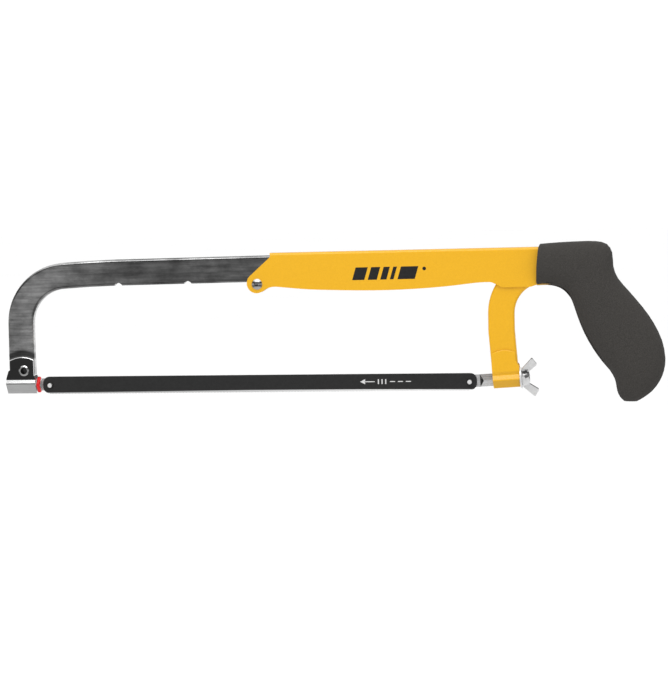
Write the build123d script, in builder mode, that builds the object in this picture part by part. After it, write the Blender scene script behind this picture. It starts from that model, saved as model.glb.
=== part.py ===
from build123d import *
import math
import os

# Adjustable hacksaw for 12 inch (300 mm) blades, in millimetres.
# +X runs along the blade from the front stud to the handle, +Y points away from
# the viewer, +Z is up. Y = 0 is the middle plane of the frame, Z = 0 is the line
# through the tooth tips, X = 0 is midway between the two holes of the blade.

THROUGH = 30.0               # half depth of cuts that pass right through a piece

# blade (hard sheet steel)
BLADE_HOLES = 300.0          # centre distance of the holes
BLADE_LEN = 310.6
BLADE_W = 12.5
BLADE_T = 0.65
BLADE_HOLE_D = 4.2
BLADE_Z = BLADE_W / 2        # hole centre height
BLADE_TOP_R = 5.7            # upper corners
BLADE_LOW_R = 4.6            # lower corners
BLADE_Y = -0.70              # near face; the far face is 0.05 in front of the seats
TEETH_PER_INCH = 24.0
TOOTH_PITCH = 25.4 / TEETH_PER_INCH
TOOTH_H = 0.62
TIP_START, TIP_END = 0.04, 0.16   # flat tip, measured from the tooth's front
GULLET_FLAT = 0.16
TOOTH_OVERLAP = 0.05         # how far the teeth reach into the blade body

# blade pins
PIN_D = 3.6
PIN_X = BLADE_HOLES / 2 + 0.28    # pins sit against the outer edges of the holes
PIN_OUT = 2.55               # how far the pins stand out past the seats
FRONT_PIN_DEPTH, REAR_PIN_DEPTH = 2.3, 2.0

# flat frame tube, its bar tilted a little against the blade
TILT = 0.8
TUBE_H = 18.5
TUBE_T = 8.0
TUBE_R = 2.0
TUBE_WALL = 1.2
BAR_Z = 87.7                 # centre line of the bar above X = 0
BAR_END = 60.0               # hidden end of the bar inside the channel
LEG_X = -170.0               # centre line of the front leg
LEG_BOTTOM = 14.2
FRONT_BEND_R = 33.7          # centre line radius
DROOP_REAR, DROOP_FRONT = -101.0, -120.0  # the bar droops just behind the bend
DROOP_SLOPE = TILT + 1.3     # degrees, between the two droop points
BEND_SLOPE = TILT + 2.7      # degrees, from the droop to the bend
NOTCH_PITCH = 50.0
NOTCH_R = 3.0
NOTCH_DEPTH = 2.0

# rear leg and its tang
LEG_FOOT = (175.35, 15.6)
LEG_KNEE = (173.2, 42.0)
REAR_BEND_R = 30.5
TANG_H = -5.9                # tang centre line from the bar's centre line
TANG_END = 228.0

# channel (inverted U of sheet steel)
CHANNEL_T = 1.2
CHANNEL_IN = 8.2             # inner width
CHANNEL_HALF = CHANNEL_IN / 2 + CHANNEL_T
WEB_CLEARANCE = 0.25         # bar top to web at the bar's hidden end
WEB_DROP = 0.3               # degrees, the web falls towards the handle
WEB_FRONT, WEB_REAR = 10.7, 199.9
CREST_R = 2.2
TONGUE_END = 226.0
TONGUE_STEP = 4.0
LUG_X, LUG_Z, LUG_R = 1.05, 77.65, 7.0

# notch rivet
RIVET_X, RIVET_Z = 1.3, 76.95
RIVET_D = 2.3
RIVET_HEAD_D = 8.0
RIVET_HEAD_H = 2.1

# square studs standing on one corner, and the sockets that hold them
STUD_SIDE = 6.4
STUD_EDGE_R = 0.35
STUD_TIP = 144.6             # distance of the blade ends of both studs from X = 0
NOSE_R = 5.0
SLEEVE_IN = 6.6
FRONT_AXIS_Z = 6.9
FRONT_SHEET = 1.5
FRONT_SLEEVE = (-181.0, -159.9)
POCKET_GAP = 0.02            # between a leg and its strap, on each side
SOCKET_RIVET_X, SOCKET_RIVET_Z = -168.0, 17.2
SOCKET_RIVET_R = 3.1

# rear sleeve and bolt, rising towards the handle
REAR_TILT = 3.3
PIVOT_X = 177.0              # where the rear stud line crosses the leg
REAR_AXIS_Z = 8.27           # height of that crossing
REAR_SHEET = 1.3
SLEEVE_END = 185.75
SHANK_START = 184.0
SHANK_D = 5.9                # M6
BOLT_END = 192.6
WASHER_T = 1.3
NUT_X = SLEEVE_END + WASHER_T + 0.03
WING_T = 1.8
NUT_TURN = 20                # degrees about the bolt

# rubber ring on the front stud
RING_X = -159.45
RING_T = 2.5
RING_SIDE = 9.6
RING_CORNER_R = 2.6

# grip
GRIP_POWER = 2.45            # exponent of the superellipse cross sections
CORE_HALF = 8.0

# stations down the grip: inner (x, z), outer (x, z), thickness
GRIP_STATIONS = [
    ((188.0, 72.6), (190.0, 102.0), 23.5),
    ((199.0, 73.7), (202.0, 102.6), 24.0),
    ((205.5, 73.9), (214.0, 103.4), 25.0),
    ((211.5, 72.9), (228.0, 103.9), 26.5),
    ((215.6, 71.2), (239.5, 103.8), 27.5),
    ((218.4, 69.0), (247.2, 101.7), 28.0),
    ((220.2, 66.9), (250.9, 95.6), 28.5),
    ((222.2, 63.9), (251.6, 86.0), 29.0),
    ((224.1, 58.8), (254.6, 77.9), 29.5),
    ((226.7, 50.8), (262.0, 68.9), 30.0),
    ((231.1, 39.9), (271.6, 57.3), 30.8),
    ((237.0, 29.1), (279.0, 46.4), 31.4),
    ((243.4, 19.9), (284.9, 33.6), 31.6),
    ((248.4, 13.9), (287.0, 21.5), 31.0),
    ((251.6, 8.2), (285.9, 12.9), 29.6),
    ((252.6, 4.0), (282.9, 5.8), 27.0),
    ((253.4, -0.7), (277.8, -0.9), 22.8),
    ((255.3, -5.0), (271.6, -5.6), 16.6),
    ((257.9, -7.8), (267.3, -8.0), 10.0),
]

# grip's front face, (x, z) from bottom to top
GRIP_FRONT = [
    (199.0, 73.0), (198.3, 75.6), (198.4, 80.0), (198.6, 86.5), (199.3, 94.4),
    (199.95, 99.9), (201.2, 103.2),
]

# curved outline of the grip core, (x, z) from the top front, round the low end
CORE_CURVE = [
    (205.0, 97.6), (225.0, 97.6), (239.0, 95.0), (243.5, 84.0), (250.0, 71.5),
    (263.5, 53.0), (273.0, 35.0), (276.5, 20.0), (272.0, 7.0), (264.5, 3.5),
    (260.5, 10.0), (252.0, 23.0), (241.0, 40.0), (233.0, 61.0), (225.5, 74.0),
]

# channel's lower edge, (x, z) from the handle towards the front
CHANNEL_STEP = [(174.0, 72.6), (170.3, 74.7), (165.9, 76.5)]
CHANNEL_BELLY = [
    (165.9, 76.5), (144.9, 74.9), (116.8, 72.6), (88.6, 71.7), (53.3, 72.3),
    (32.0, 73.4), (17.8, 74.8),
]
CHANNEL_THROAT = [(17.8, 74.8), (14.6, 75.05), (11.1, 74.78), (8.4, 73.92)]
CHANNEL_BROW = [(9.3, 94.57), (11.0, 96.9)]   # up the front end to the web

# wing nut: hub profile (x from the nut's face, radius) and one wing's outline (x, z)
NUT_HUB = [(0, 0), (0, 5.1), (0.4, 5.5), (1.7, 5.5), (4.8, 4.7), (5.3, 4.1), (5.3, 0)]
NUT_WING = [
    (0.6, 3.2), (0.4, 7.0), (7.6, 14.5), (8.4, 14.3),
    (11.0, 10.1), (10.8, 9.3), (5.2, 4.9), (4.4, 3.2),
]


# ---------------------------------------------------------------------------
# placing helpers
# ---------------------------------------------------------------------------
def bar_point(along, above):
    """(x, z) at a distance along the tilted bar and above its centre line."""
    sine, cosine = math.sin(math.radians(TILT)), math.cos(math.radians(TILT))
    return (along * cosine - above * sine, BAR_Z + along * sine + above * cosine)


def web_point(along, below=0.0):
    """(x, z) on the outer face of the channel's web, or below it."""
    drop = (along - BAR_END) * math.tan(math.radians(WEB_DROP))
    return bar_point(along, TUBE_H / 2 + WEB_CLEARANCE + CHANNEL_T - drop - below)


def lug_point(degrees):
    """(x, z) on the round lug at the channel's lower front corner."""
    angle = math.radians(degrees)
    return (LUG_X + LUG_R * math.cos(angle), LUG_Z + LUG_R * math.sin(angle))


def tilted(part):
    """Tilt a rear sleeve or bolt piece that was drawn level."""
    turned = Rot(0, -REAR_TILT, 0) * (Pos(-PIVOT_X, 0, -REAR_AXIS_Z) * part)
    return Pos(PIVOT_X, 0, REAR_AXIS_Z) * turned


def level(x, z):
    """Where a finished point of a tilted piece lies before the tilt."""
    sine, cosine = math.sin(math.radians(REAR_TILT)), math.cos(math.radians(REAR_TILT))
    dx, dz = x - PIVOT_X, z - REAR_AXIS_Z
    return (PIVOT_X + dx * cosine + dz * sine, REAR_AXIS_Z - dx * sine + dz * cosine)


def across(x, z=0.0):
    """Plane square to X, with its own axes along Y and Z."""
    return Plane(origin=(x, 0, z), x_dir=(0, 1, 0), z_dir=(1, 0, 0))


# ---------------------------------------------------------------------------
# frame tubes
# ---------------------------------------------------------------------------
def flat_tube(path, foot):
    """Hollow rounded rectangular tube swept from the foot plane along the path."""
    with BuildPart() as tube:
        for inset, mode in ((0, Mode.ADD), (TUBE_WALL, Mode.SUBTRACT)):
            with BuildSketch(foot):
                RectangleRounded(TUBE_H - 2 * inset, TUBE_T - 2 * inset, TUBE_R - inset)
            sweep(path=path, mode=mode)
    return tube.part


def front_frame_tube():
    """Front leg and bar in one tube."""
    droop_rear = bar_point(DROOP_REAR, 0)
    droop_fall = (DROOP_REAR - DROOP_FRONT) * math.tan(math.radians(DROOP_SLOPE))
    droop_front = (DROOP_FRONT, droop_rear[1] - droop_fall)
    corner_z = droop_front[1] - (DROOP_FRONT - LEG_X) * math.tan(math.radians(BEND_SLOPE))
    with BuildLine(Plane.XZ) as path:
        FilletPolyline(
            (LEG_X, LEG_BOTTOM), (LEG_X, corner_z), droop_front, droop_rear,
            bar_point(BAR_END, 0), radius=FRONT_BEND_R,
        )
    foot = Plane(origin=(LEG_X, 0, LEG_BOTTOM), x_dir=(1, 0, 0), z_dir=(0, 0, 1))
    with BuildPart() as frame:
        add(flat_tube(path.line, foot))
        # length notches on the underside, the rearmost over the notch rivet
        notch_h = -TUBE_H / 2 - (NOTCH_R - NOTCH_DEPTH)
        notches = [bar_point(RIVET_X + k * NOTCH_PITCH, notch_h) for k in (0, -1, -2)]
        with BuildSketch(Plane.XZ):
            with Locations(*notches):
                Circle(NOTCH_R)
        extrude(amount=THROUGH, both=True, mode=Mode.SUBTRACT)
        # socket rivet hole through the leg
        with BuildSketch(Plane.XZ):
            with Locations((SOCKET_RIVET_X, SOCKET_RIVET_Z)):
                Circle(SOCKET_RIVET_R)
        extrude(amount=THROUGH, both=True, mode=Mode.SUBTRACT)
    return frame.part


def rear_leg():
    """Rear leg, bent back through the channel into the grip as its tang."""
    turn = (LEG_KNEE[0], bar_point(LEG_KNEE[0], TANG_H)[1])
    with BuildLine(Plane.XZ) as path:
        FilletPolyline(
            LEG_FOOT, LEG_KNEE, turn, bar_point(TANG_END, TANG_H), radius=REAR_BEND_R
        )
    rise = (path.line @ 0.02) - (path.line @ 0)
    foot = Plane(
        origin=(LEG_FOOT[0], 0, LEG_FOOT[1]),
        x_dir=(rise.Z, 0, -rise.X),
        z_dir=(rise.X, 0, rise.Z),
    )
    return flat_tube(path.line, foot)


# ---------------------------------------------------------------------------
# sockets: sheet straps folded over the leg ends, the fold is a square sleeve
# ---------------------------------------------------------------------------
def socket(axis_z, sheet, x_start, x_end, neck_z, neck_in, ridge_up, pocket_z, top,
           arch, sides):
    """Strap round a leg end.

    neck_in is how far the strap narrows at neck_z, ridge_up the height of the
    sleeve's side corners above its axis, pocket_z the floor of the leg's pocket.
    arch and sides are the (x, z) outline: an arc on top, then the rest of the way
    round.
    """
    sleeve_half = (SLEEVE_IN + 2 * sheet) / math.sqrt(2)
    half = TUBE_T / 2 + POCKET_GAP + sheet
    ridge_z = axis_z + ridge_up
    shoulder_z = neck_z + 2.9 * neck_in
    far_side = [(half, top), (half, shoulder_z)]
    if neck_in:
        far_side.append((half - neck_in, neck_z))
    far_side.append((sleeve_half + 0.25, ridge_z))
    near_side = [(-y, z) for y, z in reversed(far_side)]
    with BuildPart() as strap:
        with BuildSketch(across(x_start)) as section:
            with BuildLine():
                Polyline(*far_side, (0, axis_z - sleeve_half), *near_side, close=True)
            make_face()
            below_top = [v for v in section.vertices() if v.Z < top - 0.5]
            fillet([v for v in below_top if abs(v.Z - neck_z) < 0.1
                    or abs(v.Z - ridge_z) < 0.1 or v.Z < axis_z - 1
                    or abs(v.Z - shoulder_z) < 0.1], 0.8)
            # the leg's pocket
            with Locations((0, (top + 5 + pocket_z) / 2)):
                Rectangle(TUBE_T + 2 * POCKET_GAP, top + 5 - pocket_z, mode=Mode.SUBTRACT)
            # the square hole
            with Locations((0, axis_z)):
                Rectangle(SLEEVE_IN, SLEEVE_IN, rotation=45, mode=Mode.SUBTRACT)
        extrude(amount=x_end - x_start)
        with BuildSketch(Plane.XZ):
            with BuildLine():
                ThreePointArc(*arch)
                Polyline(arch[-1], *sides, arch[0])
            make_face()
        extrude(amount=THROUGH, both=True, mode=Mode.INTERSECT)
        # the strap's arched edge is rolled over
        arch_edges = [e for e in strap.edges().filter_by(GeomType.CIRCLE)
                      if e.length > 10 and abs(abs(e.center().Y) - half) < 0.05]
        fillet(arch_edges, 0.9)
    return strap.part


def front_socket():
    x_start, x_end = FRONT_SLEEVE
    strap = socket(
        axis_z=FRONT_AXIS_Z, sheet=FRONT_SHEET, x_start=x_start, x_end=x_end,
        neck_z=10.8, neck_in=0, ridge_up=1.0, pocket_z=14.1, top=30,
        arch=[(-178.2, 24.7), (-169.2, 27.1), (-161.2, 25.2)],
        sides=[
            (-161.0, 13.6), (x_end, 11.2), (x_end, -5), (x_start, -5),
            (x_start, 11.6), (-179.4, 16.9), (-178.2, 17.8),
        ],
    )
    with BuildPart() as pierced:
        add(strap)
        with BuildSketch(Plane.XZ):
            with Locations((SOCKET_RIVET_X, SOCKET_RIVET_Z)):
                Circle(SOCKET_RIVET_R)
        extrude(amount=THROUGH, both=True, mode=Mode.SUBTRACT)
    return pierced.part


def rear_socket():
    strap = socket(
        axis_z=REAR_AXIS_Z, sheet=REAR_SHEET, x_start=165.5, x_end=SLEEVE_END,
        neck_z=11.5, neck_in=0.75, ridge_up=-0.4, pocket_z=14.8, top=33,
        arch=[level(166.4, 26.4), level(175.4, 28.9), level(182.6, 27.4)],
        sides=[
            level(182.9, 21.6), level(183.5, 20.2), level(184.5, 19.0), level(185.2, 17.7),
            (SLEEVE_END, 15.0), (SLEEVE_END, -5), (166.85, -5), (166.85, 9.0),
            level(166.4, 13.0), level(166.1, 18.0),
        ],
    )
    return tilted(strap)


def front_socket_rivet():
    """Semi-tubular rivet through front socket and leg, open towards the viewer."""
    face = TUBE_T / 2 + POCKET_GAP + FRONT_SHEET
    shank, bore, head = SOCKET_RIVET_R, 2.45, 3.8
    head_h, rim_h = 0.7, 0.25
    bore_end = 4.0 - face
    with BuildPart() as rivet:
        with BuildSketch(Plane.XY):
            with BuildLine():
                Polyline(
                    (bore, -face - head_h), (shank, -face - head_h), (head, -face - rim_h),
                    (head, -face), (shank, -face), (shank, face), (head, face),
                    (head, face + rim_h), (shank, face + head_h), (0, face + head_h),
                    (0, bore_end), (bore, bore_end), close=True,
                )
            make_face()
        revolve(axis=Axis.Y)
    return Pos(SOCKET_RIVET_X, 0, SOCKET_RIVET_Z) * rivet.part


# ---------------------------------------------------------------------------
# studs, blade pins and ring
# ---------------------------------------------------------------------------
def square_bar(axis_z, x_start, x_end):
    """Bar along X standing on one corner."""
    with BuildPart() as bar:
        with BuildSketch(across(x_start, axis_z)):
            RectangleRounded(STUD_SIDE, STUD_SIDE, STUD_EDGE_R, rotation=45)
        extrude(amount=x_end - x_start)
    return bar.part


def cut_stud(blank, side, axis_z, seat, pin_at):
    """Cut blade seat, pin hole and nose; side is -1 for the front, 1 for the rear."""
    with BuildPart() as stud:
        add(blank)
        # the near half of the bar is cut away down to the middle plane
        with BuildSketch(Plane.XY):
            with BuildLine():
                Polyline(*seat, (side * 140, -6), (side * 140, 0), close=True)
            make_face()
        extrude(amount=THROUGH, both=True, mode=Mode.SUBTRACT)
        with BuildSketch(Plane.XZ):
            with Locations(pin_at):
                Circle(PIN_D / 2)
        extrude(amount=THROUGH, both=True, mode=Mode.SUBTRACT)
        # the nose is rounded off behind the blade
        with BuildSketch(Plane.XZ):
            with Locations((side * 143.0, axis_z)):
                Rectangle(10, 14)
            with Locations((side * (STUD_TIP + NOSE_R), axis_z)):
                Circle(NOSE_R, mode=Mode.SUBTRACT)
        extrude(amount=THROUGH, both=True, mode=Mode.SUBTRACT)
    return stud.part


def front_blade_stud():
    return cut_stud(
        square_bar(FRONT_AXIS_Z, -180.4, -STUD_TIP), side=-1, axis_z=FRONT_AXIS_Z,
        seat=[(-155.9, 0), (-158.6, -6)], pin_at=(-PIN_X, BLADE_Z),
    )


def tension_bolt():
    """Rear stud with its M6 shank."""
    with BuildPart() as blank:
        add(square_bar(REAR_AXIS_Z, STUD_TIP, 184.6))
        with BuildSketch(across(SHANK_START, REAR_AXIS_Z)):
            Circle(SHANK_D / 2)
        extrude(amount=BOLT_END - SHANK_START)
        chamfer(blank.edges().filter_by(GeomType.CIRCLE).sort_by(Axis.X)[-1], 0.6)
    bolt = cut_stud(
        blank.part, side=1, axis_z=REAR_AXIS_Z,
        seat=[(157.6, 0), (160.9, -5.2), (161.5, -6)], pin_at=level(PIN_X, BLADE_Z),
    )
    return tilted(bolt)


def blade_pin(x, depth):
    """Pin along Y, sunk to the given depth in its stud, its near end rounded."""
    seat = Plane(origin=(x, depth, BLADE_Z), x_dir=(1, 0, 0), z_dir=(0, -1, 0))
    with BuildPart() as pin:
        with BuildSketch(seat):
            Circle(PIN_D / 2)
        extrude(amount=depth + PIN_OUT)
        fillet(pin.edges().filter_by(GeomType.CIRCLE).sort_by(Axis.Y)[0], 0.7)
    return pin.part


def stud_ring():
    """Rubber retaining ring on the front stud."""
    hole = STUD_SIDE + 0.04
    with BuildPart() as ring:
        with BuildSketch(across(RING_X, FRONT_AXIS_Z)):
            RectangleRounded(RING_SIDE, RING_SIDE, RING_CORNER_R, rotation=45)
            Rectangle(hole, hole, rotation=45, mode=Mode.SUBTRACT)
        extrude(amount=RING_T)
        outer = [e for e in ring.edges()
                 if max(abs(e.center().Y), abs(e.center().Z - FRONT_AXIS_Z)) > 3.6]
        middle_x = RING_X + RING_T / 2
        rims = [e for e in outer if abs(abs(e.center().X - middle_x) - RING_T / 2) < 0.01]
        fillet(rims, 0.9)
    return ring.part


# ---------------------------------------------------------------------------
# blade
# ---------------------------------------------------------------------------
def saw_blade():
    """Blade with rounded ends, two holes and teeth cutting towards the front."""
    count = int((BLADE_LEN - 2 * BLADE_LOW_R - 0.1) / TOOTH_PITCH)
    start = -count * TOOTH_PITCH / 2
    end = start + count * TOOTH_PITCH
    teeth = [(start, TOOTH_H + TOOTH_OVERLAP)]
    for k in range(count):
        x = start + k * TOOTH_PITCH
        teeth += [
            (x, TOOTH_H), (x + TIP_START, 0), (x + TIP_END, 0),
            (x + TOOTH_PITCH - GULLET_FLAT, TOOTH_H),
        ]
    teeth += [(end, TOOTH_H), (end, TOOTH_H + TOOTH_OVERLAP)]
    with BuildPart() as blade:
        with BuildSketch(Plane.XZ) as outline:
            # body above the gullets
            with Locations((0, (BLADE_W + TOOTH_H) / 2)):
                Rectangle(BLADE_LEN, BLADE_W - TOOTH_H)
            fillet([v for v in outline.vertices() if v.Z > BLADE_Z], BLADE_TOP_R)
            fillet([v for v in outline.vertices() if v.Z < TOOTH_H + 0.1], BLADE_LOW_R)
            with Locations((-BLADE_HOLES / 2, BLADE_Z), (BLADE_HOLES / 2, BLADE_Z)):
                Circle(BLADE_HOLE_D / 2, mode=Mode.SUBTRACT)
        extrude(amount=-BLADE_T)
        with BuildSketch(Plane.XZ):
            with BuildLine():
                Polyline(*teeth, close=True)
            make_face()
        extrude(amount=-BLADE_T)
    return Pos(0, BLADE_Y, 0) * blade.part


# ---------------------------------------------------------------------------
# washer and wing nut on the tension bolt
# ---------------------------------------------------------------------------
def tension_washer():
    with BuildPart() as washer:
        with BuildSketch(across(SLEEVE_END, REAR_AXIS_Z)):
            Circle(7.5)
            Circle(3.1, mode=Mode.SUBTRACT)
        extrude(amount=WASHER_T)
        circles = washer.edges().filter_by(GeomType.CIRCLE)
        fillet(circles.filter_by(lambda e: e.radius > 7), 0.3)
    return tilted(washer.part)


def wing_nut():
    with BuildPart() as body:
        with BuildSketch(Plane.XY):
            with BuildLine():
                Polyline(*[(NUT_X + x, radius) for x, radius in NUT_HUB], close=True)
            make_face()
        revolve(axis=Axis.X)
        # two flat square-cut wings, leaning outward and towards the handle
        for side in (1, -1):
            wing = [(NUT_X + x, side * z) for x, z in NUT_WING]
            near_face = Plane(origin=(0, -WING_T / 2, 0), x_dir=(1, 0, 0), z_dir=(0, -1, 0))
            with BuildSketch(near_face):
                with BuildLine():
                    Polyline(*wing, close=True)
                make_face()
            extrude(amount=-WING_T)
        # bore
        with BuildSketch(across(NUT_X - 1)):
            Circle(3.0)
        extrude(amount=14, mode=Mode.SUBTRACT)
        fillet(body.edges().filter_by(lambda e: abs(e.center().Z) > 9 and e.length > 1.5), 0.3)
    return tilted(Pos(0, 0, REAR_AXIS_Z) * (Rot(NUT_TURN, 0, 0) * body.part))


# ---------------------------------------------------------------------------
# channel and notch rivet
# ---------------------------------------------------------------------------
def channel_block():
    """Outer shape of the channel, still solid."""
    web_front = web_point(WEB_FRONT)
    lug_rear, lug_top = lug_point(-53), lug_point(132.2)
    with BuildPart() as block:
        with BuildSketch(Plane.XZ):
            with BuildLine():
                Polyline(
                    web_front, web_point(WEB_REAR), web_point(WEB_REAR, TONGUE_STEP),
                    web_point(TONGUE_END, TONGUE_STEP), bar_point(TONGUE_END, -15.7),
                    (198.0, 74.1), (194.4, 72.9), CHANNEL_STEP[0],
                )
                Spline(*CHANNEL_STEP, tangents=((-0.75, 0.65), (-1, 0.15)))
                Spline(*CHANNEL_BELLY, tangents=((-1, 0.02), (-1, 0.08)))
                Spline(*CHANNEL_THROAT, lug_rear, tangents=((-1, 0.08), (-0.799, -0.602)))
                ThreePointArc(lug_rear, lug_point(222), lug_top)
                Line(lug_top, CHANNEL_BROW[0])
                Spline(*CHANNEL_BROW, web_front, tangents=((0.741, 0.671), (-0.12, 1)))
            make_face()
        extrude(amount=CHANNEL_HALF, both=True)
        crest = [e for e in block.edges()
                 if abs(e.length - (WEB_REAR - WEB_FRONT)) < 1.0 and e.center().Z > 90]
        fillet(crest, CREST_R)
    return block.part


def rear_channel(block):
    with BuildPart() as channel:
        add(block)
        # hollow under the web
        with BuildSketch(Plane.XZ):
            with BuildLine():
                Polyline(
                    web_point(-40, CHANNEL_T), web_point(240, CHANNEL_T),
                    bar_point(240, -40), bar_point(-40, -40), close=True,
                )
            make_face()
        extrude(amount=CHANNEL_IN / 2, both=True, mode=Mode.SUBTRACT)
        with BuildSketch(Plane.XZ):
            with Locations((RIVET_X, RIVET_Z)):
                Circle(RIVET_D / 2)
        extrude(amount=THROUGH, both=True, mode=Mode.SUBTRACT)
    return channel.part


def notch_rivet():
    """Domed rivet across the channel; the bar's notch drops over its shank."""
    face = CHANNEL_HALF
    tip = face + RIVET_HEAD_H
    shank, head = RIVET_D / 2, RIVET_HEAD_D / 2
    dome_r = (head**2 + RIVET_HEAD_H**2) / (2 * RIVET_HEAD_H)
    mid_x = 2.2              # middle point of each dome arc
    mid_y = tip - dome_r + math.sqrt(dome_r**2 - mid_x**2)
    with BuildPart() as rivet:
        with BuildSketch(Plane.XY):
            with BuildLine():
                Line((0, -tip), (0, tip))
                ThreePointArc((0, tip), (mid_x, mid_y), (head, face))
                Polyline((head, face), (shank, face), (shank, -face), (head, -face))
                ThreePointArc((head, -face), (mid_x, -mid_y), (0, -tip))
            make_face()
        revolve(axis=Axis.Y)
    return Pos(RIVET_X, 0, RIVET_Z) * rivet.part


# ---------------------------------------------------------------------------
# grip: hard core on the tang and channel tongue, foam sleeve over it
# ---------------------------------------------------------------------------
def grip_section(inner, outer, thick):
    """Superellipse cross section standing on the line from inner to outer."""
    dx, dz = outer[0] - inner[0], outer[1] - inner[1]
    width = math.hypot(dx, dz)
    plane = Plane(
        origin=((inner[0] + outer[0]) / 2, 0, (inner[1] + outer[1]) / 2),
        x_dir=(dx / width, 0, dz / width),
        z_dir=(dz / width, 0, -dx / width),
    )
    rim = []
    for k in range(13):
        u, v = math.cos(math.pi * k / 12), math.sin(math.pi * k / 12)
        rim.append((
            width / 2 * math.copysign(abs(u) ** (2 / GRIP_POWER), u),
            thick / 2 * abs(v) ** (2 / GRIP_POWER),
        ))
    with BuildSketch(plane) as section:
        with BuildLine():
            Spline(*rim, tangents=((0, 1), (0, -1)))
            Spline(*[(x, -y) for x, y in reversed(rim)], tangents=((0, -1), (0, 1)))
        make_face()
    return section.sketch


def refined(stations, steps):
    """Extra stations on a smooth (cubic Hermite) curve through the given ones."""
    rows = [(*inner, *outer, thick) for inner, outer, thick in stations]
    knots = [0.0]
    for p, q in zip(rows, rows[1:]):
        inner_step = math.hypot(q[0] - p[0], q[1] - p[1])
        outer_step = math.hypot(q[2] - p[2], q[3] - p[3])
        knots.append(knots[-1] + inner_step + outer_step)
    slopes = []
    for k in range(len(rows)):
        low, high = max(k - 1, 0), min(k + 1, len(rows) - 1)
        span = knots[high] - knots[low]
        slopes.append([(b - a) / span for a, b in zip(rows[low], rows[high])])
    result = []
    for k in range(len(rows) - 1):
        span = knots[k + 1] - knots[k]
        for m in range(steps):
            t = m / steps
            h0, h1 = 2 * t**3 - 3 * t**2 + 1, t**3 - 2 * t**2 + t
            h2, h3 = -2 * t**3 + 3 * t**2, t**3 - t**2
            row = [h0 * a + h1 * span * slope_a + h2 * b + h3 * span * slope_b
                   for a, b, slope_a, slope_b
                   in zip(rows[k], rows[k + 1], slopes[k], slopes[k + 1])]
            result.append(((row[0], row[1]), (row[2], row[3]), row[4]))
    return result + [stations[-1]]


def grip_body():
    """Outer shape of the whole grip."""
    stations = GRIP_STATIONS[:1] + refined(GRIP_STATIONS[1:], 2)
    with BuildPart() as body:
        loft([grip_section(*station) for station in stations], ruled=True)
        # the front end, slightly hollow
        with BuildSketch(Plane.XZ):
            with BuildLine():
                Spline(*GRIP_FRONT)
                Polyline(GRIP_FRONT[-1], (180, 112), (180, 60), GRIP_FRONT[0])
            make_face()
        extrude(amount=THROUGH, both=True, mode=Mode.SUBTRACT)
    return body.part


def core_outline():
    """Draws the core's closed outline into the BuildLine that is open."""
    Spline(*CORE_CURVE, tangents=((1, 0), (-0.9, 0.3)))
    Polyline(CORE_CURVE[-1], (205.0, 75.6), CORE_CURVE[0])


def grip_core(tongue):
    with BuildPart() as core:
        with BuildSketch(Plane.XZ):
            with BuildLine():
                core_outline()
            make_face()
        extrude(amount=CORE_HALF, both=True)
        add(tongue, mode=Mode.SUBTRACT)
        # clearance for the tang beyond the tongue
        with BuildSketch(Plane.XZ):
            with Locations((216.7, bar_point(216.7, TANG_H)[1])):
                Rectangle(24.0, TUBE_H + 0.6, rotation=TILT)
        extrude(amount=4.2, both=True, mode=Mode.SUBTRACT)
    return core.part


def grip_skin(tongue):
    with BuildPart() as skin:
        add(grip_body())
        add(tongue, mode=Mode.SUBTRACT)
        with BuildSketch(Plane.XZ):
            with BuildLine():
                core_outline()
            make_face()
        extrude(amount=CORE_HALF, both=True, mode=Mode.SUBTRACT)
    return skin.part


# ---------------------------------------------------------------------------
# build and write every piece
# ---------------------------------------------------------------------------
block = channel_block()
# solid rear part of the channel, cut out of both grip pieces
tongue = block.intersect(Pos(210, 0, 85) * Box(60, 20, 60))

pieces = {
    "front_frame_tube": front_frame_tube(),
    "front_socket": front_socket(),
    "rear_socket": rear_socket(),
    "front_socket_rivet": front_socket_rivet(),
    "front_blade_stud": front_blade_stud(),
    "front_blade_pin": blade_pin(-PIN_X, FRONT_PIN_DEPTH),
    "stud_ring": stud_ring(),
    "saw_blade": saw_blade(),
    "tension_bolt": tension_bolt(),
    "rear_blade_pin": blade_pin(PIN_X, REAR_PIN_DEPTH),
    "tension_washer": tension_washer(),
    "wing_nut": wing_nut(),
    "rear_leg": rear_leg(),
    "rear_channel": rear_channel(block),
    "notch_rivet": notch_rivet(),
    "grip_core": grip_core(tongue),
    "grip_skin": grip_skin(tongue),
}

os.makedirs("parts", exist_ok=True)
for name, part in pieces.items():
    part.label = name
    export_step(part, "parts/" + name + ".step")
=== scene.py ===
import math

import bmesh
import bpy
import numpy as np
from mathutils import Matrix, Vector


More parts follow.
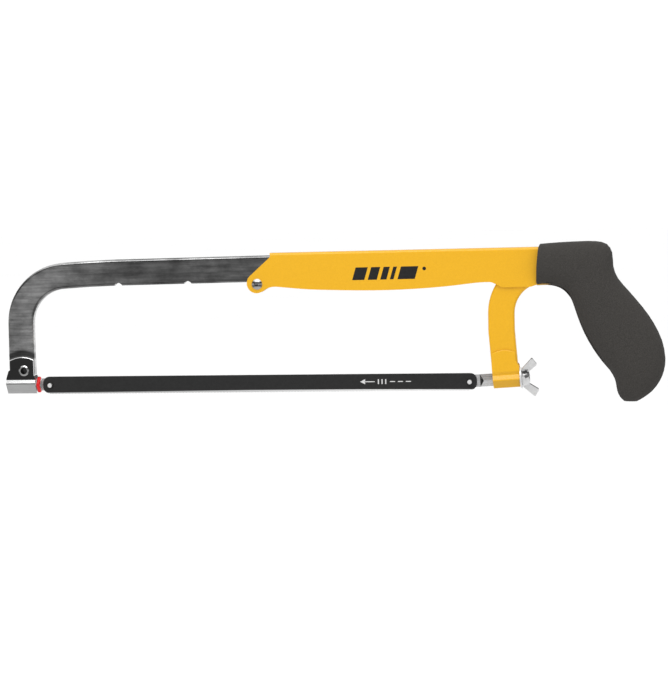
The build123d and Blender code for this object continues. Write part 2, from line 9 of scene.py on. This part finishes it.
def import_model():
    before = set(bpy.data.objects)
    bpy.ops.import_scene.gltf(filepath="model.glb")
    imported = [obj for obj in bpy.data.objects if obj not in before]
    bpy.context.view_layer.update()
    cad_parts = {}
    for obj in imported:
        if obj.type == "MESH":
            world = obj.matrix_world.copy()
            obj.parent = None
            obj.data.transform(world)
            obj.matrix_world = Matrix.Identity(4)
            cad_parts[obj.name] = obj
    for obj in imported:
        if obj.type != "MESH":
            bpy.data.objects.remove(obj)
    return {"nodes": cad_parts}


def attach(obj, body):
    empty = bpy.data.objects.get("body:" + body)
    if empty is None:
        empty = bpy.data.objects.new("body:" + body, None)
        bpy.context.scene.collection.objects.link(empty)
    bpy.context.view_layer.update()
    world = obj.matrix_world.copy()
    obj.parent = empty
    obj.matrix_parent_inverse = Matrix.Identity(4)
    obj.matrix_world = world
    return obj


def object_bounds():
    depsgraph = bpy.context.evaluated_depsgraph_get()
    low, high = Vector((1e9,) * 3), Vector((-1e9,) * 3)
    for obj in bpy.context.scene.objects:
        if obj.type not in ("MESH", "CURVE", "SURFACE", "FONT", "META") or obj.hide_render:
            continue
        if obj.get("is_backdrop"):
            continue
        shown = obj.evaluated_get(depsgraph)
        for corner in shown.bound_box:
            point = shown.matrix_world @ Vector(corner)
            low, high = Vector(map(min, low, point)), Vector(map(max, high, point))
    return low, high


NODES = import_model()["nodes"]
size_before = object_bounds()

MM = 0.001
scene = bpy.context.scene
scene.view_settings.view_transform = "Standard"
scene.view_settings.look = "None"


# ------------------------------------------------------------ colours and node helpers
def linear(colour):
    """8-bit display colour to linear RGBA."""
    out = []
    for v in colour:
        v = v / 255
        out.append(v / 12.92 if v <= 0.04045 else ((v + 0.055) / 1.055) ** 2.4)
    return (*out, 1.0)


def rgba(value):
    """A single number becomes a grey; a full colour is passed through."""
    return value if isinstance(value, tuple) else (value, value, value, 1.0)


class Nodes:
    """Short ways to add nodes to a tree. Most return the new node's output socket."""

    def __init__(self, tree):
        self.tree = tree

    def find(self, kind):
        return next(n for n in self.tree.nodes if n.type == kind)

    def node(self, kind, **attrs):
        new = self.tree.nodes.new(kind)
        for key, value in attrs.items():
            setattr(new, key, value)
        return new

    def feed(self, socket, value):
        """Link an output socket into an input, or set the input's plain value."""
        if isinstance(value, bpy.types.NodeSocket):
            self.tree.links.new(value, socket)
        else:
            socket.default_value = value

    def split(self, source):
        """X, Y and Z of one texture coordinate."""
        coord = self.node("ShaderNodeTexCoord")
        parts = self.node("ShaderNodeSeparateXYZ")
        self.feed(parts.inputs["Vector"], coord.outputs[source])
        return parts.outputs

    def remap(self, value, span=(0.0, 1.0), to=(0.0, 1.0)):
        new = self.node("ShaderNodeMapRange")
        self.feed(new.inputs["Value"], value)
        new.inputs["From Min"].default_value, new.inputs["From Max"].default_value = span
        new.inputs["To Min"].default_value, new.inputs["To Max"].default_value = to
        return new.outputs["Result"]

    def math(self, operation, *values):
        new = self.node("ShaderNodeMath", operation=operation)
        for socket, value in zip(new.inputs, values):
            self.feed(socket, value)
        return new.outputs[0]

    def mix(self, factor, first, second, blend="MIX"):
        new = self.node("ShaderNodeMix", data_type="RGBA", blend_type=blend)
        self.feed(new.inputs["Factor"], factor)
        # 6, 7 and 2 are the colour sockets A, B and Result
        self.feed(new.inputs[6], first)
        self.feed(new.inputs[7], second)
        return new.outputs[2]

    def ramp(self, factor, stops):
        """stops: (position, grey or colour), in rising order."""
        new = self.node("ShaderNodeValToRGB")
        elements = new.color_ramp.elements
        for element, (position, value) in zip(elements, (stops[0], stops[-1])):
            element.position, element.color = position, rgba(value)
        for position, value in stops[1:-1]:
            elements.new(position).color = rgba(value)
        self.feed(new.inputs["Fac"], factor)
        return new.outputs["Color"]


class Mat(Nodes):
    """A Principled material; the keywords are its inputs, with _ for a space."""

    def __init__(self, name, **inputs):
        self.material = bpy.data.materials.new(name)
        self.material.use_nodes = True
        super().__init__(self.material.node_tree)
        self.inputs = self.find("BSDF_PRINCIPLED").inputs
        for key, value in inputs.items():
            self.inputs[key.replace("_", " ")].default_value = value

    def coords(self, scale=(1, 1, 1)):
        coord = self.node("ShaderNodeTexCoord")
        mapping = self.node("ShaderNodeMapping")
        mapping.inputs["Scale"].default_value = scale
        self.feed(mapping.inputs["Vector"], coord.outputs["Object"])
        return mapping.outputs["Vector"]

    def noise(self, vector, scale, detail=3.0, rough=0.55):
        new = self.node("ShaderNodeTexNoise")
        new.inputs["Scale"].default_value = scale
        new.inputs["Detail"].default_value = detail
        new.inputs["Roughness"].default_value = rough
        self.feed(new.inputs["Vector"], vector)
        return new.outputs["Fac"]

    def bump(self, height, strength, distance):
        new = self.node("ShaderNodeBump")
        new.inputs["Strength"].default_value = strength
        new.inputs["Distance"].default_value = distance
        self.feed(new.inputs["Height"], height)
        self.feed(self.inputs["Normal"], new.outputs["Normal"])

    def paint(self, colour):
        """Make a socket the base colour, in place of any earlier one."""
        self.colour = colour
        self.feed(self.inputs["Base Color"], colour)

    def darken(self, grey, amount=1.0):
        """Multiply the base colour by a grey socket."""
        self.paint(self.mix(amount, self.colour, grey, "MULTIPLY"))

    def shade(self, axis, span, to, source="Normal"):
        """Darken by a factor that goes from to[0] to to[1] across the span.

        The span is of the surface normal's axis component, or with source "Object"
        of the place along the axis in metres.
        """
        self.darken(self.remap(self.split(source)[axis], span, to))

    def clouds(self, amount):
        """Large soft dark patches."""
        big = self.noise(self.coords(), scale=38, detail=4.0, rough=0.6)
        self.darken(self.ramp(big, [(0.38, 0.38), (0.62, 1.0)]), amount)

    def stains(self, depth):
        """Small patchy stains in the plating."""
        small = self.noise(self.coords((0.6, 1, 1)), scale=95, detail=4.0, rough=0.65)
        self.darken(self.ramp(small, [(0.36, 1.0 - depth), (0.62, 1.0)]))

    def shade_spot(self, spot, radius, dark, scale=None):
        """Painted shade round one spot (mm); with a noise scale the dark is broken into marks."""
        coord = self.node("ShaderNodeTexCoord")
        distance = self.node("ShaderNodeVectorMath", operation="DISTANCE")
        self.feed(distance.inputs[0], coord.outputs["Object"])
        distance.inputs[1].default_value = [x * MM for x in spot]
        away = self.remap(distance.outputs["Value"], (radius * 0.75 * MM, radius * MM))
        keep = self.mix(away, rgba(dark), rgba(1.0))
        if scale:
            marks = self.noise(self.coords(), scale, detail=1.5, rough=0.5)
            self.feed(keep.node.inputs[6], self.ramp(marks, [(0.47, dark), (0.53, 1.0)]))
        self.darken(keep)

    def dark_reflection_band(self, low, high, reflection_dark, middle, bow, soft):
        """Paint a dark reflection band between two heights (mm), curving down away from X = middle.

        bow is the drop per squared distance, in 1/m; soft is half an edge's blur in mm.
        """
        place = self.split("Object")
        across = self.math("SUBTRACT", place["X"], middle * MM)
        square = self.math("MULTIPLY", across, across)
        height = self.math("MULTIPLY_ADD", square, bow, place["Z"])
        lower, upper = (
            self.remap(height, ((edge - soft) * MM, (edge + soft) * MM), to)
            for edge, to in ((low, (1.0, reflection_dark)), (high, (reflection_dark, 1.0)))
        )
        self.darken(self.math("MAXIMUM", lower, upper))


# ------------------------------------------------------------------------------ paint
def enamel(name):
    """Gloss yellow with a faint orange peel."""
    m = Mat(name, Roughness=0.32, Specular_IOR_Level=0.35, Coat_Weight=0.18, Coat_Roughness=0.12)
    place = m.coords()
    speckle = m.noise(place, scale=900, detail=2.0)
    m.paint(m.ramp(speckle, [(0.35, (0.695, 0.362, 0.0035, 1)), (0.65, (0.725, 0.382, 0.0050, 1))]))
    m.bump(m.noise(place, scale=420, detail=2.0), strength=0.05, distance=0.0002)
    return m


yellow = enamel("yellow_enamel")

# painted shade: darker on faces that look down
yellow_fold_shaded = enamel("yellow_fold_shaded")
yellow_fold_shaded.shade("Z", span=(-0.72, -0.3), to=(0.84, 1.0))


# ----------------------------------------------------------------------------- metals
def metal(name, base, rough, streak, scale, relief, brushed=True, metallic=1.0):
    """Grey metal with a fine grain, drawn out along X if brushed.

    rough: lowest and highest roughness; streak: how much darker the grain gets;
    scale: of the grain noise; relief: bump strength of the grain.
    """
    m = Mat(name, Metallic=metallic)
    place = m.coords((0.06, 1, 1) if brushed else (1, 1, 1))
    grain = m.noise(place, scale, detail=4.0, rough=0.65)
    m.feed(m.inputs["Roughness"], m.remap(grain, to=rough))
    m.paint(m.ramp(grain, [(0.3, base * (1 - streak)), (0.7, base)]))
    m.bump(grain, strength=relief, distance=0.0002)
    return m


PIN_SHADE_X = 150.28  # dark spots of painted shade round the pins on bolt and stud, at either end of the blade

# the last shade, a painted dark reflection, leaves the bar darker than the bend at the front
chrome = metal("chrome_brushed", base=1.0, rough=(0.10, 0.24), streak=0.58, scale=420, relief=0.15)
chrome.clouds(0.42)
chrome.stains(0.46)
# painted dark reflection: a curved band on the leg just above the strap
chrome.dark_reflection_band(low=27.4, high=31.6, reflection_dark=0.22, middle=-169.2, bow=25.0, soft=0.8)
chrome.shade("X", span=(-0.155, -0.09), to=(1.0, 0.44), source="Object")

# painted dark reflection where it looks straight along -Y
chrome_leg = metal(
    "chrome_strap", base=0.90, rough=(0.06, 0.14), streak=0.12, scale=500, relief=0.04)
chrome_leg.clouds(0.15)
chrome_leg.shade("Y", span=(-0.985, -0.93), to=(0.09, 1.0))

zinc = metal(
    "zinc_plate", base=0.84, rough=(0.30, 0.44), streak=0.08, scale=700, relief=0.10,
    brushed=False, metallic=0.45)

# painted shade on top, and painted dark reflection marks on the hub that also stand for the dark
# thread end
zinc_nut = metal(
    "zinc_nut", base=0.86, rough=(0.28, 0.42), streak=0.14, scale=420, relief=0.10,
    brushed=False, metallic=0.45)
zinc_nut.shade("Z", span=(0.45, 0.62), to=(1.0, 0.10))
zinc_nut.shade_spot(spot=(190.6, -4.0, 11.6), radius=3.9, dark=0.16, scale=430)

# painted shade on top, on the faces that look along -X, and round the rear pin
bolt = metal(
    "bolt_steel", base=0.76, rough=(0.20, 0.34), streak=0.16, scale=600, relief=0.12,
    metallic=0.65)
bolt.shade("Z", span=(0.2, 0.5), to=(1.0, 0.33))
bolt.shade("X", span=(-0.76, -0.60), to=(0.07, 1.0))
bolt.shade_spot(spot=(PIN_SHADE_X, 0.0, 6.25), radius=3.0, dark=0.05)

# painted shade round the front pin
steel = metal(
    "stud_steel", base=0.72, rough=(0.20, 0.34), streak=0.16, scale=600, relief=0.12,
    metallic=0.65)
steel.shade_spot(spot=(-PIN_SHADE_X, 0.0, 6.25), radius=3.0, dark=0.05)

polish = metal(
    "polished_rivet", base=0.85, rough=(0.05, 0.12), streak=0.06, scale=300, relief=0.03,
    brushed=False)
# painted dark reflection marks on the dome
polish.shade_spot(spot=(1.9, -6.8, 77.6), radius=2.7, dark=0.25, scale=520)

# painted shade on the sides: bright only where it looks along -Y
pin = metal(
    "bright_pin", base=0.78, rough=(0.25, 0.35), streak=0.06, scale=400, relief=0.03,
    brushed=False, metallic=0.35)
pin.shade("Y", span=(-0.94, -0.72), to=(1.0, 0.22))

# painted shade in the bore: bright only at its -Y end
tube_rivet = metal(
    "tube_rivet", base=0.80, rough=(0.10, 0.20), streak=0.10, scale=300, relief=0.03,
    brushed=False)
tube_rivet.shade("Y", span=(-0.00590, -0.00575), to=(1.0, 0.10), source="Object")


# ------------------------------------------------------------- rubber, blade, plastics
def red_rubber():
    m = Mat("red_rubber", Roughness=0.42, Specular_IOR_Level=0.35)
    place = m.coords()
    speckle = m.noise(place, scale=600)
    m.paint(m.ramp(speckle, [(0.3, linear((186, 14, 18))), (0.7, linear((222, 26, 28)))]))
    m.bump(m.noise(place, scale=900), strength=0.06, distance=0.0005)
    return m


# place along the blade from front (0) to rear (1), against
# the share of the ground strip's full height
STRIP_HEIGHT = [(0.0, 0.60), (0.22, 0.75), (0.48, 1.0), (0.75, 0.95), (1.0, 0.62)]
# and the grey of the bare steel
STRIP_GREY = [(0.0, 0.35), (0.45, 0.55), (0.8, 0.78), (1.0, 0.78)]


def blade_lacquer(strip=1.75 * MM, soft=0.15 * MM, half_length=0.15):
    """Black lacquer over the body, bare ground steel along the teeth."""
    m = Mat("blade_lacquer")
    place = m.split("Object")
    along = m.remap(place["X"], (-half_length, half_length))
    rise = m.math("MULTIPLY", m.ramp(along, STRIP_HEIGHT), strip)
    painted = m.remap(m.math("SUBTRACT", place["Z"], rise), (-soft, soft))
    black = m.ramp(m.noise(m.coords(), scale=800), [(0.3, 0.0135), (0.7, 0.0195)])
    m.paint(m.mix(painted, m.ramp(along, STRIP_GREY), black))
    # (value on bare steel, value on lacquer)
    for socket, values in (("Metallic", (0.25, 0.0)), ("Roughness", (0.40, 0.50))):
        m.feed(m.inputs[socket], m.remap(painted, to=values))
    m.bump(m.noise(m.coords(), scale=900), strength=0.08, distance=0.0001)
    return m


def grip_foam():
    m = Mat("grip_foam", Roughness=0.86, Specular_IOR_Level=0.25)
    fine = m.noise(m.coords(), scale=1500, detail=4.0, rough=0.7)
    m.paint(m.ramp(fine, [(0.32, (0.029, 0.0268, 0.0245, 1)), (0.68, (0.052, 0.0485, 0.0445, 1))]))
    m.bump(fine, strength=0.35, distance=0.0004)
    return m


def speckled(name, roughness, scale, low, high):
    """Plain surface with a noise between two greys."""
    m = Mat(name, Roughness=roughness)
    m.paint(m.ramp(m.noise(m.coords(), scale), [(0.3, low), (0.7, high)]))
    return m


red = red_rubber()
blade = blade_lacquer()
foam = grip_foam()
plastic = speckled("core_plastic", roughness=0.6, scale=400, low=0.012, high=0.02)

WEAR = {
    "rear_channel": yellow, "rear_leg": yellow, "rear_socket": yellow_fold_shaded,
    "notch_rivet": polish, "tension_washer": zinc, "grip_core": plastic, "grip_skin": foam,
    "front_frame_tube": chrome, "front_socket": chrome_leg, "front_socket_rivet": tube_rivet,
    "front_blade_stud": steel, "front_blade_pin": pin, "stud_ring": red,
    "saw_blade": blade, "tension_bolt": bolt, "rear_blade_pin": pin, "wing_nut": zinc_nut,
}
for name, piece in NODES.items():
    piece.data.materials.clear()
    piece.data.materials.append(WEAR[name].material)

# --------------------------------------------------------------------------- markings
# all in millimetres
DECAL_THICKNESS = 0.036
CHANNEL_FACE_Y = -5.33
BLADE_FACE_Y = -0.72

# stripes on the channel: a common corner, then start and end of each along X from there
STRIPES_X, STRIPES_Z = 69.0, 78.4
STRIPES = [(0, 8.6), (11.0, 17.4), (19.8, 24.2), (26.6, 29.2), (32.0, 44.2)]
STRIPE_HEIGHT = 8.9
STRIPE_LEAN = 2.6   # shift of the top along X
STRIPE_SLOPE = 0.009  # rise of the row per unit of X

# dot after the stripes
DOT_X, DOT_Z = STRIPES_X + 50.9, STRIPES_Z + 8.2
DOT_RADIUS = 1.3
DOT_CORNERS = 24

BLADE_MARKS_Z = 7.0  # middle line of the marks on the blade

ink = speckled("black_ink", roughness=0.45, scale=700, low=0.010, high=0.016)
chalk = speckled("pale_ink", roughness=0.6, scale=900, low=0.50, high=0.62)


def decal(name, y, shapes, mat, body):
    """Printed shapes: thin closed layers of (x, z) corners with their face at depth y."""
    verts, faces = [], []
    for shape in shapes:
        first, count = len(verts), len(shape)
        for depth in (y, y + DECAL_THICKNESS):
            verts += [(x * MM, depth * MM, z * MM) for x, z in shape]
        face = [first + i for i in range(count)]
        back = [i + count for i in face]
        faces += [face, back[::-1]]
        for i in range(count):
            j = (i + 1) % count
            faces.append([face[i], back[i], back[j], face[j]])
    mesh = bpy.data.meshes.new(name)
    mesh.from_pydata(verts, [], faces)
    bm = bmesh.new()
    bm.from_mesh(mesh)
    bmesh.ops.recalc_face_normals(bm, faces=bm.faces)
    bm.to_mesh(mesh)
    bm.free()
    layer = bpy.data.objects.new(name, mesh)
    scene.collection.objects.link(layer)
    mesh.materials.append(mat.material)
    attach(layer, body)


def stripe(start, end):
    """Slanted stripe on the channel."""
    x0, x1 = STRIPES_X + start, STRIPES_X + end
    z0, z1 = STRIPES_Z + STRIPE_SLOPE * x0, STRIPES_Z + STRIPE_SLOPE * x1
    return [
        (x0, z0), (x1, z1),
        (x1 + STRIPE_LEAN, z1 + STRIPE_HEIGHT), (x0 + STRIPE_LEAN, z0 + STRIPE_HEIGHT),
    ]


def disc(x, z, radius, corners):
    turns = [2 * math.pi * k / corners for k in range(corners)]
    return [(x + radius * math.cos(turn), z + radius * math.sin(turn)) for turn in turns]


def bar(x0, x1, half_height):
    """Upright rectangle on the middle line of the blade marks."""
    low, high = BLADE_MARKS_Z - half_height, BLADE_MARKS_Z + half_height
    return [(x0, low), (x1, low), (x1, high), (x0, high)]


decal("channel_stripes", CHANNEL_FACE_Y, [stripe(*ends) for ends in STRIPES],
      ink, "rear_frame")
decal("channel_dot", CHANNEL_FACE_Y, [disc(DOT_X, DOT_Z, DOT_RADIUS, DOT_CORNERS)],
      ink, "rear_frame")

# cutting-direction arrow pointing to the front, then three ticks and three dashes
arrow_shaft = bar(83.2, 76.0, half_height=0.3)
arrow_head = [(72.8, BLADE_MARKS_Z), (76.4, BLADE_MARKS_Z - 1.8), (76.4, BLADE_MARKS_Z + 1.8)]
ticks = [bar(x, x + 0.8, half_height=1.7) for x in (85.4, 88.0, 90.6)]
dashes = [bar(x, x + 3.6, half_height=0.3) for x in (94.0, 99.6, 105.2)]
decal("blade_marks", BLADE_FACE_Y, [arrow_shaft, arrow_head, *ticks, *dashes],
      chalk, "blade")

# ------------------------------------------------------------------------------ world
# (height of the ray from straight down 0 to straight up 1, grey)
# a dim room behind the viewer, lit above and below
ROOM = [
    (0.0, 0.48), (0.14, 0.45), (0.24, 0.15), (0.36, 0.12), (0.45, 0.35),
    (0.56, 0.37), (0.64, 0.04), (0.76, 0.05), (0.86, 0.95), (1.0, 1.2),
]
# behind the saw: white, with a dark band just above the horizon
REAR = [(0.500, 1), (0.512, 0.10), (0.56, 0.10), (0.70, 1)]


def build_world():
    """Even white light; bright metal mirrors the room and the rear instead."""
    world = bpy.data.worlds.new("studio")
    scene.world = world
    world.use_nodes = True
    w = Nodes(world.node_tree)
    white = w.find("BACKGROUND")
    white.inputs["Color"].default_value = rgba(1)
    white.inputs["Strength"].default_value = 1.1
    ray = w.split("Generated")
    height = w.remap(ray["Z"], (-1.0, 1.0))
    room = w.ramp(height, ROOM)
    behind = w.remap(ray["Y"], (0.25, 0.60))
    rear = w.ramp(height, REAR)
    mirrored = w.node("ShaderNodeBackground")
    w.feed(mirrored.inputs["Color"], w.mix(behind, room, rear))
    path = w.node("ShaderNodeLightPath")
    choice = w.node("ShaderNodeMixShader")
    w.feed(choice.inputs["Fac"], path.outputs["Is Glossy Ray"])
    w.feed(choice.inputs[1], white.outputs["Background"])
    w.feed(choice.inputs[2], mirrored.outputs["Background"])
    w.feed(w.find("OUTPUT_WORLD").inputs["Surface"], choice.outputs["Shader"])


def add_key_light(size, place, target, power):
    """Rectangular light above the saw, on the viewer's side."""
    light = bpy.data.lights.new("key_top", "AREA")
    light.shape = "RECTANGLE"
    light.size, light.size_y = size
    light.energy = power
    lamp = bpy.data.objects.new("key_top", light)
    scene.collection.objects.link(lamp)
    lamp.location = place
    aim = Vector(target) - Vector(place)
    lamp.rotation_euler = aim.to_track_quat("-Z", "Y").to_euler()


def add_floor(half, z):
    """Pale floor well under the saw, left out of mirror reflections."""
    mesh = bpy.data.meshes.new("floor")
    corners = [(-half, -half, z), (half, -half, z), (half, half, z), (-half, half, z)]
    mesh.from_pydata(corners, [], [(0, 1, 2, 3)])
    floor = bpy.data.objects.new("floor", mesh)
    scene.collection.objects.link(floor)
    floor.visible_glossy = False
    pale = speckled("pale_floor", roughness=0.9, scale=2.0, low=0.93, high=0.95)
    mesh.materials.append(pale.material)
    floor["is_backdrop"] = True


def add_camera(azimuth, elevation, roll, distance, aim, lens):
    """Camera on the -Y side, looking at aim; angles in degrees, lens in mm."""
    a, e, t = (math.radians(angle) for angle in (azimuth, elevation, roll))
    back = Vector((math.sin(a) * math.cos(e), -math.cos(a) * math.cos(e), math.sin(e)))
    level = Vector((math.cos(a), math.sin(a), 0))
    upright = back.cross(level)
    right = math.cos(t) * level + math.sin(t) * upright
    up = -math.sin(t) * level + math.cos(t) * upright
    data = bpy.data.cameras.new("camera")
    data.sensor_fit = "AUTO"
    data.sensor_width = 36.0
    data.lens = lens
    data.clip_start = 0.05
    camera = bpy.data.objects.new("camera", data)
    scene.collection.objects.link(camera)
    pose = Matrix((right, up, back)).transposed().to_4x4()
    pose.translation = aim + back * distance
    camera.matrix_world = pose
    scene.camera = camera


build_world()
add_key_light(size=(1.2, 0.8), place=(0.1, -0.7, 1.3), target=(0.05, 0, 0.05), power=9)
add_floor(half=15, z=-0.35)
add_camera(azimuth=7.0, elevation=4.0, roll=-1.0591, distance=2.0,
           aim=Vector((54.693 * MM, 0, 34.562 * MM)), lens=148.677376)

size_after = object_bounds()


def plain(v):
    """Bounds as floats and lists that JSON can hold."""
    if isinstance(v, dict):
        return {k: plain(x) for k, x in v.items()}
    if isinstance(v, (list, tuple, Vector, np.ndarray)):
        return [plain(x) for x in v]
    return v if isinstance(v, str) else float(v)


{"after_load": plain(size_before), "before_finish": plain(size_after)}
